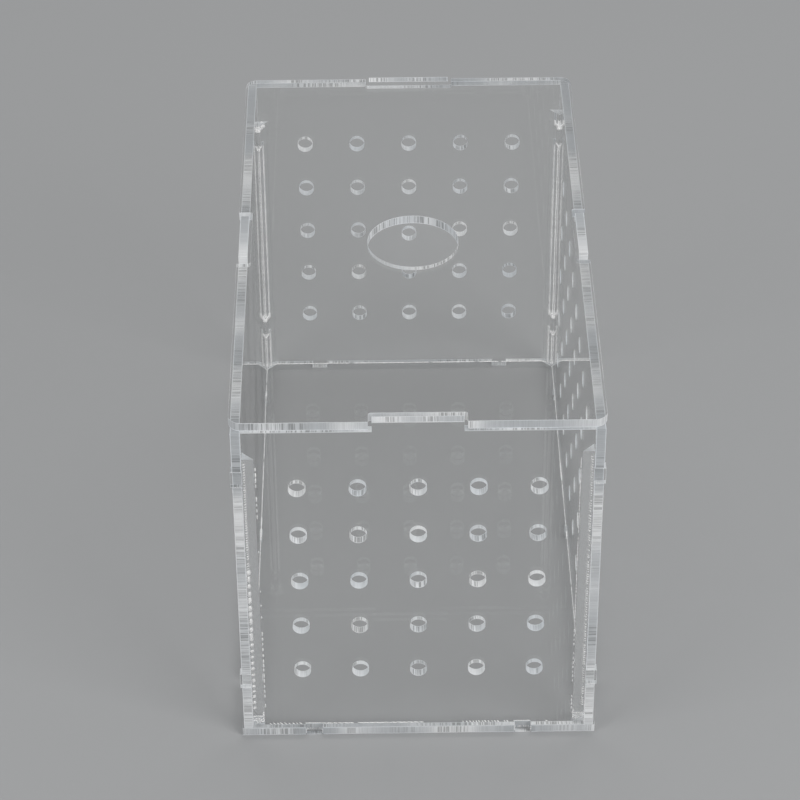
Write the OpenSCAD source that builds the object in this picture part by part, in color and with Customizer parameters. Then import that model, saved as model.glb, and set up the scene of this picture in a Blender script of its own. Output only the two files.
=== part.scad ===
// Fish breeding box: laser-cut clear acrylic sheets, tabbed into each other and glued,
// stiffened by a triangular post in each corner, under a loose lid with a feeding hole.
// Origin: middle of the underside. +X is the right side, +Y the back, +Z up.

/* [Sheet and joints] */
// Thickness of every acrylic sheet
sheet_t = 2.6; // [2:0.1:5]
// How far the end panels' side tabs stand out of the side walls
side_proud = 0.5; // [0:0.1:1.5]
// How far the lid tabs stand out of the lid
top_proud = 0.5; // [0:0.1:1.5]
// Play on either side of a glued tab in its notch
joint_play = 0.2; // [0.05:0.05:0.4]
// Length of the notch that stays open behind a glued tab
notch_open = 0.4; // [0.1:0.1:1.5]
// Thickness of a glued seam between two sheets, or a sheet and a post
seam = 0.05; // [0.02:0.01:0.2]

/* [Box] */
// Width of the base and the lid
base_w = 100; // [80:1:160]
// Depth of the base and the side walls
base_d = 175; // [120:1:250]
// Height of the walls, between base and lid
wall_h = 105.8; // [80:0.1:160]

/* [Side tabs of the end panels] */
// Height of a side tab
side_tab_h = 5.1; // [3:0.1:8]
// Distance from the panel's top or bottom edge to the nearer side tab
side_tab_inset = 14.3; // [8:0.1:20]

/* [Foot tabs in the base] */
// Width of a foot tab
foot_tab_w = 4.5; // [3:0.1:8]
// Distance from a side wall to the middle of an end panel's foot tab
end_foot_inset = 17.3; // [10:0.1:25]
// Distance from a wall's end to the middle of its outer foot tab
side_foot_inset = 20; // [15:0.5:40]

/* [Water holes] */
// Diameter of a water hole
hole_d = 4.7; // [3:0.1:6]
// Distance between water holes, both ways
hole_pitch = 16.2; // [12:0.1:20]
// Least distance from a hole's centre to the panel's edges
hole_edge = 14; // [10:0.5:20]
// Least distance from a hole's centre to the ends of the right wall
side_hole_edge = 24; // [20:0.5:40]
// How far the front panel's holes and side tabs sit above its middle
front_up = 1.2; // [-3:0.1:3]
// How far the back panel's holes and side tabs sit above its middle
back_up = -0.6; // [-3:0.1:3]
// How far the right wall's holes sit above its middle
side_holes_up = -0.5; // [-3:0.1:3]
// How far the right wall's holes sit behind its middle
side_holes_back = 1.5; // [-5:0.1:5]

/* [Lid] */
// How much shorter the lid is than the base at each end
lid_inset = 0.5; // [0:0.1:1.5]
// How far the loose lid is pushed back, at most as far as it is shorter
lid_push = 0.5; // [0:0.1:0.5]
// Radius of the lid's corners
lid_corner_r = 3.5; // [1:0.5:6]
// Radius of the inner corners of the lid's notches
lid_notch_r = 0.8; // [0.3:0.1:0.9]
// Gap under the loose lid
lid_rest = 0.05; // [0.05:0.05:0.3]
// Diameter of the feeding hole
feed_d = 26; // [15:0.5:40]
// How far the feeding hole sits in front of the lid's middle
feed_forward = 2.5; // [-10:0.5:10]
// Width of an end panel's lid tab
end_lid_tab_w = 24.4; // [15:0.1:40]
// Length of a side wall's lid tab
side_lid_tab_l = 20.5; // [15:0.1:40]
// How far a side wall's lid tab sits behind the wall's middle
side_lid_tab_back = 0.5; // [-2:0.1:2]
// Play at either end of an end panel's lid tab
end_lid_play = 1; // [0.3:0.1:3]
// Play at either end of a side wall's lid tab
side_lid_play = 2.8; // [0.3:0.1:5]
// Gap between an end panel and the inner edge of its lid notch, with the lid centred
end_lid_gap = 1.8; // [0.7:0.1:4]
// Gap between a side wall and the inner edge of its lid notch
side_lid_gap = 0.8; // [0.3:0.1:3]

/* [Corner posts] */
// Width of a post along each of the two sheets that it braces
post_leg = 3.2; // [2:0.1:8]
// Distance from the walls' top edge down to each post
front_left_drop = 10; // [2:0.1:30]
front_right_drop = 8.4; // [2:0.1:30]
back_left_drop = 12.1; // [2:0.1:30]
back_right_drop = 8.9; // [2:0.1:30]

/* [Hidden] */
$fn = 96;

// A cut runs this far past the edge that it opens
over = 1;
// Outer and inner faces of the walls, and the inner faces of the end panels
wall_x = base_w / 2 - side_proud;
inner_x = wall_x - sheet_t;
inner_y = base_d / 2 - sheet_t;
// Lid tabs go through the rest gap and the lid, and stand proud
lid_tab_reach = lid_rest + sheet_t + top_proud;
lid_z = sheet_t + wall_h + lid_rest;
lid_d = base_d - 2 * lid_inset;
// Depths of the notches, from the edge of the sheet that they are cut in
end_lid_notch = sheet_t - lid_inset + end_lid_gap;
side_lid_notch = side_proud + sheet_t + side_lid_gap;
end_notch = sheet_t + notch_open;
side_foot_notch = side_proud + sheet_t + notch_open;
// Places of the tabs
side_tab_z = wall_h / 2 - side_tab_inset - side_tab_h / 2;
end_foot_x = inner_x - end_foot_inset;
side_foot_y = base_d / 2 - side_foot_inset;

acrylic = [0.86, 0.92, 0.93, 0.45];

function fitting(span, edge) = floor((span - 2 * edge) / hole_pitch) + 1;

// Rows and columns of water holes, centred on the origin
module hole_grid(columns, rows) {
    for (i = [0 : columns - 1], j = [0 : rows - 1])
        translate([(i - (columns - 1) / 2) * hole_pitch, (j - (rows - 1) / 2) * hole_pitch])
            circle(d = hole_d);
}

// Outline with round corners, centred on the origin
module rounded(width, depth, r) {
    square([width - 2 * r, depth], center = true);
    square([width, depth - 2 * r], center = true);
    for (x = [-1, 1], y = [-1, 1])
        translate([x * (width / 2 - r), y * (depth / 2 - r)]) circle(r = r);
}

// A notch of the given width, cut inwards from the edge at x = 0
module notch(depth, width) {
    translate([-depth, -width / 2]) square([depth + over, width]);
}

// The same with rounded inner corners, for the lid
module round_notch(depth, width) {
    translate([lid_notch_r - depth, -width / 2]) square([depth - lid_notch_r + over, width]);
    translate([-depth, lid_notch_r - width / 2]) square([depth, width - 2 * lid_notch_r]);
    for (y = [-1, 1])
        translate([lid_notch_r - depth, y * (width / 2 - lid_notch_r)]) circle(r = lid_notch_r);
}

// Front or back panel, flat: its middle at x = 0 and the base's top at y = 0
module end_outline(up) {
    difference() {
        union() {
            translate([seam - inner_x, seam]) square([2 * (inner_x - seam), wall_h - seam]);
            translate([-end_lid_tab_w / 2, seam])
                square([end_lid_tab_w, wall_h + lid_tab_reach - seam]);
            for (level = [-1, 1])
                translate([0, wall_h / 2 + up + level * side_tab_z])
                    square([base_w, side_tab_h], center = true);
            for (side = [-1, 1])
                translate([side * end_foot_x - foot_tab_w / 2, -sheet_t])
                    square([foot_tab_w, 2 * sheet_t]);
        }
        translate([0, wall_h / 2 + up])
            hole_grid(fitting(2 * inner_x, hole_edge), fitting(wall_h, hole_edge));
    }
}

// Side wall, flat: its middle at x = 0, its front to the left and the base's top at y = 0
module side_outline() {
    difference() {
        union() {
            translate([-base_d / 2, seam]) square([base_d, wall_h - seam]);
            translate([side_lid_tab_back - side_lid_tab_l / 2, seam])
                square([side_lid_tab_l, wall_h + lid_tab_reach - seam]);
            for (y = [-side_foot_y, 0, side_foot_y])
                translate([y - foot_tab_w / 2, -sheet_t]) square([foot_tab_w, 2 * sheet_t]);
        }
        for (end = [[-1, front_up], [1, back_up]], level = [-1, 1])
            translate([end[0] * base_d / 2, wall_h / 2 + end[1] + level * side_tab_z])
                rotate(end[0] < 0 ? 180 : 0) notch(end_notch, side_tab_h + 2 * joint_play);
    }
}

// Stands an end outline upright on the base, with its back face at y
module stand_end(y) {
    translate([0, y, sheet_t]) rotate([90, 0, 0]) linear_extrude(sheet_t) children();
}

// Stands a side outline upright on the base, with its left face at x
module stand_side(x) {
    translate([x, 0, sheet_t]) rotate([90, 0, 90]) linear_extrude(sheet_t) children();
}

// Three-cornered post in the inner corner on the given side and end
module corner_post(side, end, drop) {
    color(acrylic)
        translate([side * (inner_x - seam), end * (inner_y - seam), sheet_t + seam])
            linear_extrude(wall_h - seam - drop)
                polygon([[0, 0], [-side * post_leg, 0], [0, -end * post_leg]]);
}

module bottom_plate() {
    color(acrylic) linear_extrude(sheet_t) difference() {
        square([base_w, base_d], center = true);
        for (end = [90, -90], x = [-end_foot_x, end_foot_x])
            rotate(end) translate([base_d / 2, x])
                notch(end_notch, foot_tab_w + 2 * joint_play);
        for (side = [0, 180], y = [-side_foot_y, 0, side_foot_y])
            rotate(side) translate([base_w / 2, y])
                notch(side_foot_notch, foot_tab_w + 2 * joint_play);
    }
}

module front_panel() {
    color(acrylic) stand_end(-inner_y) end_outline(front_up);
}

module back_panel() {
    color(acrylic) stand_end(base_d / 2) end_outline(back_up);
}

module left_wall() {
    color(acrylic) stand_side(-wall_x) side_outline();
}

module right_wall() {
    color(acrylic) stand_side(inner_x) difference() {
        side_outline();
        translate([side_holes_back, wall_h / 2 + side_holes_up])
            hole_grid(fitting(base_d, side_hole_edge), fitting(wall_h, hole_edge));
    }
}

module front_left_post() {
    corner_post(-1, -1, front_left_drop);
}

module front_right_post() {
    corner_post(1, -1, front_right_drop);
}

module back_left_post() {
    corner_post(-1, 1, back_left_drop);
}

module back_right_post() {
    corner_post(1, 1, back_right_drop);
}

module lid() {
    color(acrylic) translate([0, lid_push, lid_z]) linear_extrude(sheet_t) difference() {
        rounded(base_w, lid_d, lid_corner_r);
        for (end = [90, -90])
            rotate(end) translate([lid_d / 2, 0])
                round_notch(end_lid_notch, end_lid_tab_w + 2 * end_lid_play);
        for (side = [-1, 1])
            translate([side * base_w / 2, side_lid_tab_back - lid_push])
                rotate(side < 0 ? 180 : 0)
                    round_notch(side_lid_notch, side_lid_tab_l + 2 * side_lid_play);
        translate([0, -feed_forward]) circle(d = feed_d);
    }
}

bottom_plate();
front_panel();
back_panel();
left_wall();
right_wall();
front_left_post();
front_right_post();
back_left_post();
back_right_post();
lid();
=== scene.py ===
"""Looks of the clear acrylic fish breeding box: laser-cut sheets, corner posts, loose lid, dried glue."""
import math
import random

import bmesh
import bpy
from mathutils import Matrix, Vector


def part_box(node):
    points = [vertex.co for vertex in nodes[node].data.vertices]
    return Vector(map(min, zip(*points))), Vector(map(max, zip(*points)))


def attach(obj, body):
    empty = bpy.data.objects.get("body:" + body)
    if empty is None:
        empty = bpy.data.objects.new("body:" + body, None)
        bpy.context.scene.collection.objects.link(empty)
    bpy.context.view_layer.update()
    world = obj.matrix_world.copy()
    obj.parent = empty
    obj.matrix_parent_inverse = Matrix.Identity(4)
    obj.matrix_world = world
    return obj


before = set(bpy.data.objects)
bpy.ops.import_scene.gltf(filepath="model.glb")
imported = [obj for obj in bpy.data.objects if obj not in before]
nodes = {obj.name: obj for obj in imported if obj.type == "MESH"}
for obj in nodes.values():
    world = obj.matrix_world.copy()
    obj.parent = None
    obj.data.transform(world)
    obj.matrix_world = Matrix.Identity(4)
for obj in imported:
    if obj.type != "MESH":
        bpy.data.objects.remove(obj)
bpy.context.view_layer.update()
MM = 0.001

# Top of the base, and the inner faces of the side walls and of the front and back panels
BASE_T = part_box("bottom_plate")[1].z
LEFT_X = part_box("left_wall")[1].x
RIGHT_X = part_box("right_wall")[0].x
FRONT_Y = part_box("front_panel")[1].y
BACK_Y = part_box("back_panel")[0].y
# The axis along each sheet's thickness, or along a post
SHEET_AXIS = {
    "bottom_plate": 2,
    "lid": 2,
    "front_panel": 1,
    "back_panel": 1,
    "left_wall": 0,
    "right_wall": 0,
    "front_left_post": 2,
    "front_right_post": 2,
    "back_left_post": 2,
    "back_right_post": 2,
}
# The side of the box that each post stands on: left is -1, right is 1
POST_SIDES = {
    "front_left_post": -1,
    "front_right_post": 1,
    "back_left_post": -1,
    "back_right_post": 1,
}

# Camera: fitted to the photograph's edges, for a square frame
CAMERA_AT = Vector((-0.01007, -0.7033, 0.5843))
CAMERA_YAW = 0.0087
CAMERA_PITCH = 0.6472
CAMERA_ROLL = -0.0062
LENS = 133.37
SENSOR_WIDTH = 36


def aim_camera():
    """A camera that looks along +Y, turned by yaw, pitch down and roll."""
    data = bpy.data.cameras.new("camera")
    data.lens = LENS
    data.sensor_width = SENSOR_WIDTH
    data.clip_start = 0.01
    data.clip_end = 50
    camera = bpy.data.objects.new("camera", data)
    bpy.context.scene.collection.objects.link(camera)
    forward = Vector((
        math.sin(CAMERA_YAW) * math.cos(CAMERA_PITCH),
        math.cos(CAMERA_YAW) * math.cos(CAMERA_PITCH),
        -math.sin(CAMERA_PITCH),
    ))
    right = Vector((math.cos(CAMERA_YAW), -math.sin(CAMERA_YAW), 0))
    up = right.cross(forward)
    turned_right = right * math.cos(CAMERA_ROLL) + up * math.sin(CAMERA_ROLL)
    turned_up = up * math.cos(CAMERA_ROLL) - right * math.sin(CAMERA_ROLL)
    camera.matrix_world = Matrix((
        (turned_right.x, turned_up.x, -forward.x, CAMERA_AT.x),
        (turned_right.y, turned_up.y, -forward.y, CAMERA_AT.y),
        (turned_right.z, turned_up.z, -forward.z, CAMERA_AT.z),
        (0, 0, 0, 1),
    ))
    bpy.context.scene.camera = camera


# Finishes

ACRYLIC_IOR = 1.49
GLUE_IOR = 1.46
CLEAR = (0.996, 0.999, 0.998, 1)
FLOOR_COLOUR = (0.35, 0.355, 0.36, 1)
# Tint of a cut where its frost is dull, and where it is pale
FROST_COOL = Vector((0.93, 0.967, 1))
FROST_PALE = Vector((0.985, 0.995, 1))
# How bright the dull and the pale frost are, and how deep the dark lines where they show most
CUT_FINISHES = {
    "cut_edge": (0.64, 0.98, 0.45),
    # Hole walls have the same cut as the edges but a lighter dull frost: painted light that makes up for
    # the shade inside the holes
    "hole_wall": (0.88, 1.0, 0.5),
    "sawn_end": (0.84, 0.92, 0.15),
}
# How deep the dark lines are where they show least, and how near white the painted highlight along a
# cut's smooth lips is
FAINT_LINES = 0.06
LIP_HIGHLIGHT = 0.98
# Places across the sheet are shrunk to this share, which draws the marks out into lines
SHRINK_ACROSS = 0.02
# Share of the light that passes straight through a polished face, and through a cut one
PASSED_BY_FACE = 0.96
PASSED_BY_CUT = 0.4
# Share of a cut's look that comes from light on its other side
GLOW = 0.4


def new_material(name):
    """An empty node material with its Principled shader and the object's coordinates."""
    material = bpy.data.materials.new(name)
    material.use_nodes = True
    tree = material.node_tree
    shader = tree.nodes["Principled BSDF"]
    place = tree.nodes.new("ShaderNodeTexCoord")
    return material, tree, shader, place.outputs["Object"]


def set_socket(tree, socket, value):
    """Gives a socket a plain value, or a link from another node's output."""
    if isinstance(value, bpy.types.NodeSocket):
        tree.links.new(value, socket)
    else:
        socket.default_value = value


def add_node(tree, kind, **settings):
    """A node with the given socket values."""
    node = tree.nodes.new(kind)
    for name, value in settings.items():
        set_socket(tree, node.inputs[name.replace("_", " ")], value)
    return node


def maths(tree, operation, first, second=0.5):
    """The result of a Math node on one or two numbers."""
    node = tree.nodes.new("ShaderNodeMath")
    node.operation = operation
    set_socket(tree, node.inputs[0], first)
    set_socket(tree, node.inputs[1], second)
    return node.outputs["Value"]


def vector_maths(tree, operation, first, second):
    """The result of a Vector Math node on two vectors, or on a vector and its scale."""
    node = tree.nodes.new("ShaderNodeVectorMath")
    node.operation = operation
    set_socket(tree, node.inputs[0], first)
    set_socket(tree, node.inputs["Scale"] if operation == "SCALE" else node.inputs[1], second)
    return node.outputs["Value"] if operation == "DOT_PRODUCT" else node.outputs["Vector"]


def noise(tree, place, scale, detail=0):
    """A cloudy pattern, with about that many clouds to the metre."""
    node = add_node(tree, "ShaderNodeTexNoise", Vector=place, Scale=scale, Detail=detail)
    return node.outputs["Fac"]


def band(tree, value, low, high, out_low=0, out_high=1):
    """A value spread from low..high to out_low..out_high, with soft ends."""
    node = tree.nodes.new("ShaderNodeMapRange")
    node.interpolation_type = "SMOOTHSTEP"
    tree.links.new(value, node.inputs["Value"])
    node.inputs["From Min"].default_value = low
    node.inputs["From Max"].default_value = high
    node.inputs["To Min"].default_value = out_low
    node.inputs["To Max"].default_value = out_high
    return node.outputs["Result"]


def bump(tree, shader, height, strength, distance):
    """Raises the surface where the height is high, by up to that distance."""
    node = add_node(tree, "ShaderNodeBump", Strength=strength, Distance=distance, Height=height)
    tree.links.new(node.outputs["Normal"], shader.inputs["Normal"])


def mix_shaders(tree, share, first, second):
    """The first shader, and that share of the second."""
    node = tree.nodes.new("ShaderNodeMixShader")
    set_socket(tree, node.inputs["Fac"], share)
    tree.links.new(first, node.inputs[1])
    tree.links.new(second, node.inputs[2])
    return node.outputs["Shader"]


def let_light_through(tree, seen, rays, passed):
    """Rays of these kinds go straight through the surface, which keeps some of their light."""
    light_path = tree.nodes.new("ShaderNodeLightPath")
    passing = tree.nodes.new("ShaderNodeBsdfTransparent")
    passing.inputs["Color"].default_value = (passed, passed, passed, 1)
    for ray in rays:
        seen = mix_shaders(tree, light_path.outputs[ray], seen, passing.outputs["BSDF"])
    tree.links.new(seen, tree.nodes["Material Output"].inputs["Surface"])


def new_group(name, inputs, outputs):
    """A shader node group with its named sockets. Inputs are (name, type, value)."""
    group = bpy.data.node_groups.new(name, "ShaderNodeTree")
    for label, kind, value in inputs:
        socket = group.interface.new_socket(label, in_out="INPUT", socket_type=kind)
        if value is not None:
            socket.default_value = value
    for label in outputs:
        group.interface.new_socket(label, in_out="OUTPUT", socket_type="NodeSocketFloat")
    source = group.nodes.new("NodeGroupInput")
    result = group.nodes.new("NodeGroupOutput")
    return group, source.outputs, result.inputs


def make_laser_marks():
    """Marks of the laser, straight across a sheet, and the smooth lips along both its faces."""
    group, given, out = new_group(
        "laser_marks",
        [
            ("Place", "NodeSocketVector", None),
            ("Stretch", "NodeSocketVector", None),
            ("Middle", "NodeSocketVector", None),
            ("Across", "NodeSocketVector", None),
            ("Half Thickness", "NodeSocketFloat", 1.3 * MM),
        ],
        ["Lines", "Patches", "Tone", "Lip"],
    )
    stretched = vector_maths(group, "MULTIPLY", given["Place"], given["Stretch"])
    fine = maths(group, "MULTIPLY", noise(group, stretched, 3100), 0.7)
    coarse = maths(group, "MULTIPLY", noise(group, stretched, 1300), 0.3)
    lines = maths(group, "ADD", fine, coarse)
    patches = noise(group, stretched, 90, 1)
    tone = noise(group, stretched, 45, 2)
    group.links.new(band(group, lines, 0.4, 0.58), out["Lines"])
    group.links.new(band(group, patches, 0.4, 0.62), out["Patches"])
    group.links.new(band(group, tone, 0.35, 0.65), out["Tone"])
    # The lips start three quarters of the way from the sheet's middle to its face
    from_middle = vector_maths(group, "SUBTRACT", given["Place"], given["Middle"])
    across = vector_maths(group, "DOT_PRODUCT", from_middle, given["Across"])
    depth = maths(group, "ABSOLUTE", across)
    share = maths(group, "DIVIDE", depth, given["Half Thickness"])
    group.links.new(band(group, share, 0.74, 0.9), out["Lip"])
    return group


laser_marks = make_laser_marks()


def laser_cut(finish, sheet, axis):
    """A sheet's laser-cut edges or hole walls: frosted, lined across the sheet, with a painted highlight
    along its smooth lips.
    """
    dull, pale, lined = CUT_FINISHES[finish]
    material, tree, shader, place = new_material(finish + "_" + sheet)
    low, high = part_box(sheet)
    stretch = Vector((1, 1, 1))
    stretch[axis] = SHRINK_ACROSS
    across = Vector((0, 0, 0))
    across[axis] = 1
    marks = tree.nodes.new("ShaderNodeGroup")
    marks.node_tree = laser_marks
    tree.links.new(place, marks.inputs["Place"])
    marks.inputs["Stretch"].default_value = stretch
    marks.inputs["Across"].default_value = across
    marks.inputs["Middle"].default_value = across * ((low[axis] + high[axis]) / 2)
    # A post's sawn ends have no lips, so half its thickness is given as a metre
    half = 1 if sheet in POST_SIDES else (high[axis] - low[axis]) / 2
    marks.inputs["Half Thickness"].default_value = half
    lines = marks.outputs["Lines"]
    tone = marks.outputs["Tone"]
    lip = marks.outputs["Lip"]
    # The dark lines show most in patches, and stop at the lips
    frost = band(tree, tone, 0, 1, dull, pale)
    depth = band(tree, marks.outputs["Patches"], 0, 1, FAINT_LINES, lined)
    dark = maths(tree, "MULTIPLY", maths(tree, "SUBTRACT", 1.0, lines), depth)
    shade = maths(tree, "MULTIPLY", frost, maths(tree, "SUBTRACT", 1.0, dark))
    # The smooth lips are painted near white: a painted highlight where they catch the light
    lip_highlighted = maths(tree, "MAXIMUM", shade, maths(tree, "MULTIPLY", lip, LIP_HIGHLIGHT))
    warmer = vector_maths(tree, "SCALE", FROST_PALE - FROST_COOL, tone)
    tint = vector_maths(tree, "ADD", warmer, FROST_COOL)
    tinted = vector_maths(tree, "SCALE", tint, lip_highlighted)
    tree.links.new(tinted, shader.inputs["Base Color"])
    tree.links.new(band(tree, lip, 0, 1, 0.5, 0.25), shader.inputs["Roughness"])
    shader.inputs["IOR"].default_value = ACRYLIC_IOR
    bump(tree, shader, lines, 0.6, 0.12 * MM)
    # The cut also glows with the light that reaches it through the clear sheet
    glow = add_node(tree, "ShaderNodeBsdfTranslucent", Color=tinted)
    glowing = mix_shaders(tree, GLOW, shader.outputs["BSDF"], glow.outputs["BSDF"])
    let_light_through(tree, glowing, ("Is Shadow Ray",), PASSED_BY_CUT)
    return material


def polished_acrylic():
    """The sheets' faces: clear and glossy, with faint waves and a few dull, wiped patches."""
    material, tree, shader, place = new_material("clear_acrylic")
    shader.inputs["Base Color"].default_value = CLEAR
    shader.inputs["Transmission Weight"].default_value = 1
    shader.inputs["IOR"].default_value = ACRYLIC_IOR
    wiped = noise(tree, place, 38, 4)
    tree.links.new(band(tree, wiped, 0.5, 0.75, 0.0, 0.012), shader.inputs["Roughness"])
    bump(tree, shader, noise(tree, place, 26), 0.03, 0.5 * MM)
    let_light_through(tree, shader.outputs["BSDF"], ("Is Diffuse Ray", "Is Shadow Ray"), PASSED_BY_FACE)
    return material


def dried_glue():
    """Solvent glue, dried whitish and full of tiny bubbles."""
    material, tree, shader, place = new_material("dried_glue")
    shader.inputs["IOR"].default_value = GLUE_IOR
    bubbles = noise(tree, place, 2600, 2)
    tree.links.new(band(tree, bubbles, 0.35, 0.6, 0.82, 1.0), shader.inputs["Base Color"])
    tree.links.new(band(tree, bubbles, 0.3, 0.7, 0.12, 0.4), shader.inputs["Roughness"])
    bump(tree, shader, bubbles, 0.4, 0.1 * MM)
    return material


# Sheets and posts

# Further in from a sheet's border than its notches reach, and less far than its holes
HOLE_MARGIN = 7 * MM
# Places in a sheet's list of materials
POLISHED = 0
CUT = 1
HOLE = 2


def dress_sheets():
    """A sheet is polished on the faces that look along its thickness, and cut elsewhere.

    On a post it is the other way round: its ends are sawn.
    """
    polished = polished_acrylic()
    for name, axis in SHEET_AXIS.items():
        mesh = nodes[name].data
        post = name in POST_SIDES
        low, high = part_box(name)
        finishes = ("sawn_end",) if post else ("cut_edge", "hole_wall")
        mesh.materials.clear()
        mesh.materials.append(polished)
        for finish in finishes:
            mesh.materials.append(laser_cut(finish, name, axis))
        for face in mesh.polygons:
            along = abs(face.normal[axis]) > 0.99
            inside = all(
                low[i] + HOLE_MARGIN < face.center[i] < high[i] - HOLE_MARGIN
                for i in range(3) if i != axis
            )
            if along != post:
                face.material_index = POLISHED
            elif inside and not post:
                face.material_index = HOLE
            else:
                face.material_index = CUT


# Dried glue

# Its sizes and places are in millimetres. Beads are given by their pitch, length and width, the share
# of them that is there and, where they lean, by how far they lean from their row, in radians.

# Notches of the side walls for the panels' tabs, from and to a height above the base
FRONT_NOTCHES = ((15.3, 20.8), (87.4, 92.9))
BACK_NOTCHES = ((13.5, 19), (85.6, 91.1))
# A foot tab of the front panel: its width, and from its middle to the side wall
FOOT_TAB_W = 4.5
FOOT_TAB_INSET = 17.3
# Play beside a tab in its notch, and how far the beads in there lie behind the panel's front face
TAB_PLAY = 0.2
TAB_BEADS_BACK = 0.25
# Beads beside a foot tab, from and to a height above the ground
FOOT_TAB_RUN = (0.7, 2.1)
FOOT_TAB_BEADS = (0.5, 1.1, 0.17, 1)
# Upright drops behind a foot tab: behind the panel, and above the ground
DROPS_AT = (0.2, 0.65)
DROPS = (0.42, 1.0, 0.17, 0.9, math.pi / 2)
# A line along the edge of a foot tab's notch: behind the panel, and above the base
NOTCH_LINE_AT = (0.45, 0.05)
NOTCH_LINE_BEADS = (0.7, 1.3, 0.12, 1)
# Half the length of the drops' row and of that line
TAB_GLUE_REACH = 2.05
# Beads above and below a side tab, from and to a distance out from the wall's inner face
SIDE_TAB_RUN = (0.6, 2.5)
SIDE_TAB_BEADS = (0.6, 1.0, 0.15, 1)

# Beads up the front posts: by the wall or by the panel, from and to a height above the base
FRONT_RUNS = {
    "front_left_post": (
        ("wall", 5, 32, 2.1, 1.4, 0.4, 1),
        ("wall", 32, 56, 2.6, 2.6, 0.42, 0.95),
        ("wall", 56, 94, 0.85, 0.6, 0.2, 0.95),
        ("panel", 7, 36, 1.9, 1.6, 0.28, 0.85),
        ("panel", 36, 76, 4.5, 0.8, 0.22, 0.5),
        ("panel", 76, 94, 2.1, 1.7, 0.26, 0.85),
    ),
    "front_right_post": (
        ("wall", 5, 95, 0.85, 0.6, 0.2, 0.9),
        ("panel", 5, 40, 1.6, 1.2, 0.2, 0.7),
        ("panel", 40, 95, 1.2, 1.8, 0.15, 0.95),
    ),
}
# From the post's edge by the wall or the panel to its beads: towards the box's middle, and back
WALL_BEADS_AT = (0.3, -0.55)
PANEL_BEADS_AT = (0.3, 0.2)
# The smear at a front post's foot: behind the panel, above the base, and its reach sideways and up
SMEAR_BACK = 0.35
SMEAR_UP = 1.6
SMEAR_REACH = (1.1, 1.2)
SMEAR_STROKES = 13
SMEAR_BEADS = (0.35, 0.9, 0.24, 1)
# The thick rim across the top of the smear: above its middle, and half its length
RIM_UP = 1.4
RIM_REACH = 1.3
RIM_BEADS = (0.6, 1.3, 0.28, 1)

# The line of glue up a back post's hidden corner: from the wall, and from the panel
BACK_LINE_AT = (0.75, 0.4)
BACK_LINE_BEADS = (1.1, 2.8, 0.3, 1)
# It starts this far above the base, ends this far below a notch, and starts again this far above it
LINE_FOOT = 0.5
LINE_STOPS = 0.8
LINE_STARTS = 2
# The thin bar that it ends in, and the thick one that it starts in: how far each is from the notch
# and how wide its beads are, then the pitch and length of both bars' beads
THIN_BAR_GAP = 0.4
THIN_BAR_WIDTH = 0.3
THICK_BAR_GAP = 0.8
THICK_BAR_WIDTH = 0.7
BAR_PITCH = 0.6
BAR_LENGTH = 1.4
# From a bar to the wall, and from its ends to the edges of the post's leg
BAR_IN = 0.2
BAR_INSET = 0.3
# The blob over a thick bar: above the notch, and its reach along x, y and z
BLOB_UP = 1.4
BLOB_REACH = (0.5, 0.4, 1.2)
# The clot of blobs over the upper notch by the left post
CLOT_BLOBS = 9
CLOT_REACH = (0.4, 0.3, 0.4)

# Height of the beads along the foot of the walls above the base, and along the front one
SEAM_UP = 0.12
FRONT_SEAM_UP = 0.32
BACK_SEAM_BEADS = (1.6, 3.2, 0.17, 0.96)
SIDE_SEAM_BEADS = (1.7, 3.4, 0.13, 0.97)
# Beads along the front seam, from and to a distance right of the middle
FRONT_SEAM_RUNS = (
    (-42, -33, 1.1, 1.3, 0.17, 0.9, 0.7),
    (-26.5, 2, 1.5, 2.3, 0.17, 0.92, 0.1),
    (12.7, 26.2, 0.9, 1.0, 0.2, 0.85, 0.9),
    (33, 38, 1.8, 1.2, 0.16, 0.5, 0.3),
)
# Puddles along the side seams: how far each lies behind the middle, and how far it reaches
SIDE_SEAM_PUDDLES = {
    "left": ((68, 2), (6, 3), (0, 4)),
    "right": ((31, 3.5), (27, 3), (-2, 2.5)),
}
PUDDLE_WIDTH = 0.26
PUDDLE_HEIGHT = 0.15


def in_mm(x, y, z):
    """A step of that many millimetres."""
    return Vector((x, y, z)) * MM


def keep_glue(name, build, material):
    """Turns a built mesh into a piece of glue, which rides on the box."""
    mesh = bpy.data.meshes.new(name)
    build.to_mesh(mesh)
    build.free()
    mesh.materials.append(material)
    mesh.shade_smooth()
    piece = bpy.data.objects.new(name, mesh)
    bpy.context.scene.collection.objects.link(piece)
    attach(piece, "box")


def add_beads(build, start, stop, draw, pitch, length, width, kept, lean=0):
    """A row of dried beads, each a little different, between two places given in metres."""
    along = (stop - start).normalized()
    turn = Vector((0, 0, 1)).rotation_difference(along).to_matrix().to_4x4()
    turn = turn @ Matrix.Rotation(lean, 4, "Y")
    travel = 0
    while travel < (stop - start).length:
        size = in_mm(
            width * draw.uniform(0.7, 1.2),
            width * draw.uniform(0.7, 1.2),
            length / 2 * draw.uniform(0.6, 1.15),
        )
        place = Matrix.Translation(start + along * travel) @ turn @ Matrix.Diagonal((*size, 1))
        if draw.random() < kept:
            bmesh.ops.create_uvsphere(build, u_segments=6, v_segments=4, radius=1, matrix=place)
        travel += pitch * MM * draw.uniform(0.85, 1.15)


def add_blob(build, middle, reach, draw):
    """A round blob that reaches about that far from its middle along x, y and z."""
    size = in_mm(*reach) * draw.uniform(0.85, 1.15)
    place = Matrix.Translation(middle) @ Matrix.Diagonal((*size, 1))
    bmesh.ops.create_uvsphere(build, u_segments=10, v_segments=6, radius=1, matrix=place)


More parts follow.
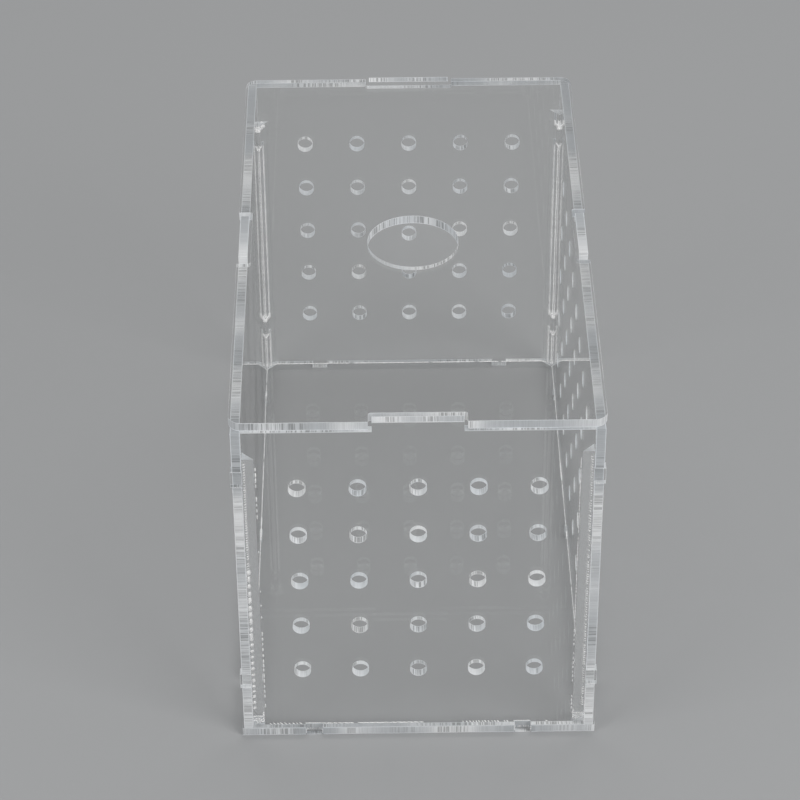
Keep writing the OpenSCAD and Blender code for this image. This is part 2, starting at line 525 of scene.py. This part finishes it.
def add_smear(build, middle, draw):
    """Short strokes of glue, wiped about inside an upright oval."""
    across = in_mm(SMEAR_REACH[0], 0, 0)
    up = in_mm(0, 0, SMEAR_REACH[1])
    for stroke in range(SMEAR_STROKES):
        angle = draw.uniform(0, 2 * math.pi)
        reach = draw.uniform(0.3, 0.9)
        start = middle + across * math.cos(angle) * reach + up * math.sin(angle) * reach
        stop = start + (across * draw.uniform(-0.8, 0.8) + up * draw.uniform(-0.25, 0.25))
        add_beads(build, start, stop, draw, *SMEAR_BEADS)


def glue_front_posts(material):
    """Beads that oozed out along both edges of each front post, and the smear at its foot."""
    for name, runs in FRONT_RUNS.items():
        inwards = -POST_SIDES[name]
        low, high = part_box(name)
        wall_x, free_x = (low.x, high.x) if inwards > 0 else (high.x, low.x)
        draw = random.Random(name)
        # The beads by the wall lie just inside the clear post, whose slanted face mirrors them
        by_wall = in_mm(inwards * WALL_BEADS_AT[0], WALL_BEADS_AT[1], 0)
        by_panel = in_mm(inwards * PANEL_BEADS_AT[0], PANEL_BEADS_AT[1], 0)
        edges = {
            "wall": Vector((wall_x, high.y, BASE_T)) + by_wall,
            "panel": Vector((free_x, low.y, BASE_T)) + by_panel,
        }
        build = bmesh.new()
        for edge, first, last, *beads in runs:
            start = edges[edge] + in_mm(0, 0, first)
            stop = edges[edge] + in_mm(0, 0, last)
            add_beads(build, start, stop, draw, *beads)
        foot = Vector(((wall_x + free_x) / 2, low.y, BASE_T)) + in_mm(0, SMEAR_BACK, SMEAR_UP)
        add_smear(build, foot, draw)
        rim_start = foot + in_mm(-RIM_REACH, 0, RIM_UP)
        rim_stop = foot + in_mm(RIM_REACH, 0, RIM_UP)
        add_beads(build, rim_start, rim_stop, draw, *RIM_BEADS)
        keep_glue("glue_" + name, build, material)


def glue_back_posts(material):
    """Glue in a line up the hidden corner of each back post, which stops at each notch of the wall.

    It ends in a thin bar below the notch, and starts again in a thick one above it.
    """
    for name in ("back_left_post", "back_right_post"):
        inwards = -POST_SIDES[name]
        low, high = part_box(name)
        wall_x = low.x if inwards > 0 else high.x
        draw = random.Random(name)
        foot = Vector((wall_x, high.y, BASE_T)) + in_mm(inwards * BACK_LINE_AT[0], -BACK_LINE_AT[1], 0)
        build = bmesh.new()
        start = LINE_FOOT
        for notch_low, notch_high in BACK_NOTCHES:
            stop = notch_low - LINE_STOPS
            add_beads(build, foot + in_mm(0, 0, start), foot + in_mm(0, 0, stop), draw, *BACK_LINE_BEADS)
            bars = (
                (notch_low - THIN_BAR_GAP, THIN_BAR_WIDTH),
                (notch_high + THICK_BAR_GAP, THICK_BAR_WIDTH),
            )
            for level, width in bars:
                bar_start = Vector((wall_x, low.y, BASE_T)) + in_mm(inwards * BAR_IN, BAR_INSET, level)
                bar_stop = Vector((wall_x, high.y, BASE_T)) + in_mm(inwards * BAR_IN, -BAR_INSET, level)
                add_beads(build, bar_start, bar_stop, draw, BAR_PITCH, BAR_LENGTH, width, 1)
            add_blob(build, foot + in_mm(0, 0, notch_high + BLOB_UP), BLOB_REACH, draw)
            start = notch_high + LINE_STARTS
        if name == "back_left_post":
            for blob in range(CLOT_BLOBS):
                place = in_mm(draw.uniform(-0.5, 1.0), 0, draw.uniform(-1, 1))
                add_blob(build, foot + place + in_mm(0, 0, start), CLOT_REACH, draw)
        keep_glue("glue_" + name, build, material)


def outline_foot_tab(build, middle, front_y, draw):
    """Glue in the gaps beside a foot tab of the front panel, behind it, and on its notch's edge."""
    foot = Vector((middle, front_y, 0))
    for gap in (-1, 1):
        start = foot + in_mm(gap * (FOOT_TAB_W + TAB_PLAY) / 2, 0, FOOT_TAB_RUN[0])
        stop = foot + in_mm(gap * (FOOT_TAB_W + TAB_PLAY) / 2, 0, FOOT_TAB_RUN[1])
        add_beads(build, start, stop, draw, *FOOT_TAB_BEADS)
    half = in_mm(TAB_GLUE_REACH, 0, 0)
    drops = Vector((middle, FRONT_Y, 0)) + in_mm(0, *DROPS_AT)
    add_beads(build, drops - half, drops + half, draw, *DROPS)
    line = Vector((middle, FRONT_Y, BASE_T)) + in_mm(0, *NOTCH_LINE_AT)
    add_beads(build, line - half, line + half, draw, *NOTCH_LINE_BEADS)


def outline_front_tabs(build):
    """Glue drawn into the gaps round the front panel's tabs, just behind its front face."""
    draw = random.Random("front tabs")
    front_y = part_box("front_panel")[0].y + TAB_BEADS_BACK * MM
    for side in (-1, 1):
        outline_foot_tab(build, side * (RIGHT_X - FOOT_TAB_INSET * MM), front_y, draw)
        foot = Vector((side * RIGHT_X, front_y, BASE_T))
        for notch_low, notch_high in FRONT_NOTCHES:
            for level in (notch_low + TAB_PLAY / 2, notch_high - TAB_PLAY / 2):
                start = foot + in_mm(side * SIDE_TAB_RUN[0], 0, level)
                stop = foot + in_mm(side * SIDE_TAB_RUN[1], 0, level)
                add_beads(build, start, stop, draw, *SIDE_TAB_BEADS)


def glue_front_seam(material, draw):
    """Slanted beads along the foot of the front panel, in runs, and the outlines of its tabs."""
    build = bmesh.new()
    for first, last, *beads in FRONT_SEAM_RUNS:
        start = Vector((0, FRONT_Y, BASE_T)) + in_mm(first, 0, FRONT_SEAM_UP)
        stop = Vector((0, FRONT_Y, BASE_T)) + in_mm(last, 0, FRONT_SEAM_UP)
        add_beads(build, start, stop, draw, *beads)
    outline_front_tabs(build)
    keep_glue("glue_front_seam", build, material)


def glue_back_seam(material, draw):
    """One wavy line of glue along the foot of the back panel."""
    build = bmesh.new()
    floor_z = BASE_T + SEAM_UP * MM
    start = Vector((LEFT_X, BACK_Y, floor_z))
    stop = Vector((RIGHT_X, BACK_Y, floor_z))
    add_beads(build, start, stop, draw, *BACK_SEAM_BEADS)
    keep_glue("glue_back_seam", build, material)


def glue_side_seam(name, x, material, draw):
    """A thin line of glue along the foot of a side wall, with a few puddles."""
    build = bmesh.new()
    floor_z = BASE_T + SEAM_UP * MM
    start = Vector((x, FRONT_Y, floor_z))
    stop = Vector((x, BACK_Y, floor_z))
    add_beads(build, start, stop, draw, *SIDE_SEAM_BEADS)
    for back, reach in SIDE_SEAM_PUDDLES[name]:
        middle = Vector((x, back * MM, floor_z))
        add_blob(build, middle, (PUDDLE_WIDTH, reach, PUDDLE_HEIGHT), draw)
    keep_glue("glue_" + name + "_seam", build, material)


def glue_seams(material):
    """Glue along the inside of the seams between the base and what stands on it."""
    draw = random.Random("floor seams")
    glue_front_seam(material, draw)
    glue_back_seam(material, draw)
    glue_side_seam("left", LEFT_X, material, draw)
    glue_side_seam("right", RIGHT_X, material, draw)


# Light and floor, in metres and watts

WORLD_LIGHT = 0.25
LIT_PLACE = Vector((0, 0, 0.05))
# Each lamp's name, place, width and height, and power
SOFTBOXES = (
    ("rear_softbox", (0.1, 0.9, 1.75), (1.8, 0.9), 14),
    ("right_softbox", (1.25, -1.15, 1.05), (1.1, 0.9), 24),
    ("left_softbox", (-1.4, -0.95, 0.95), (1.1, 0.9), 14),
)
FLOOR_REACH = 6
# The floor lies just under the base, so that the two share no plane
FLOOR_DROP = 0.2 * MM


def light_scene():
    """A pale even world and three large soft lamps."""
    world = bpy.data.worlds.new("world")
    bpy.context.scene.world = world
    world.use_nodes = True
    background = world.node_tree.nodes["Background"]
    background.inputs["Color"].default_value = (1, 1, 1, 1)
    background.inputs["Strength"].default_value = WORLD_LIGHT
    for name, place, size, watts in SOFTBOXES:
        lamp = bpy.data.lights.new(name, "AREA")
        lamp.shape = "RECTANGLE"
        lamp.size, lamp.size_y = size
        lamp.energy = watts
        box = bpy.data.objects.new(name, lamp)
        box.location = place
        # The clear sheets show what is behind them, and no lamps
        box.visible_transmission = False
        box.visible_glossy = False
        box.rotation_euler = (LIT_PLACE - box.location).to_track_quat("-Z", "Y").to_euler()
        bpy.context.scene.collection.objects.link(box)


def lay_floor():
    """A plain floor, much larger than the view."""
    build = bmesh.new()
    bmesh.ops.create_grid(build, x_segments=1, y_segments=1, size=FLOOR_REACH)
    bmesh.ops.translate(build, vec=(0, 0, -FLOOR_DROP), verts=build.verts)
    mesh = bpy.data.meshes.new("floor")
    build.to_mesh(mesh)
    build.free()
    floor = bpy.data.objects.new("floor", mesh)
    bpy.context.scene.collection.objects.link(floor)
    material, _, shader, _ = new_material("pale_floor")
    shader.inputs["Base Color"].default_value = FLOOR_COLOUR
    shader.inputs["Roughness"].default_value = 0.9
    shader.inputs["Specular IOR Level"].default_value = 0
    mesh.materials.append(material)


aim_camera()
dress_sheets()
glue = dried_glue()
glue_front_posts(glue)
glue_back_posts(glue)
glue_seams(glue)
light_scene()
lay_floor()

bpy.context.scene.view_settings.view_transform = "Standard"
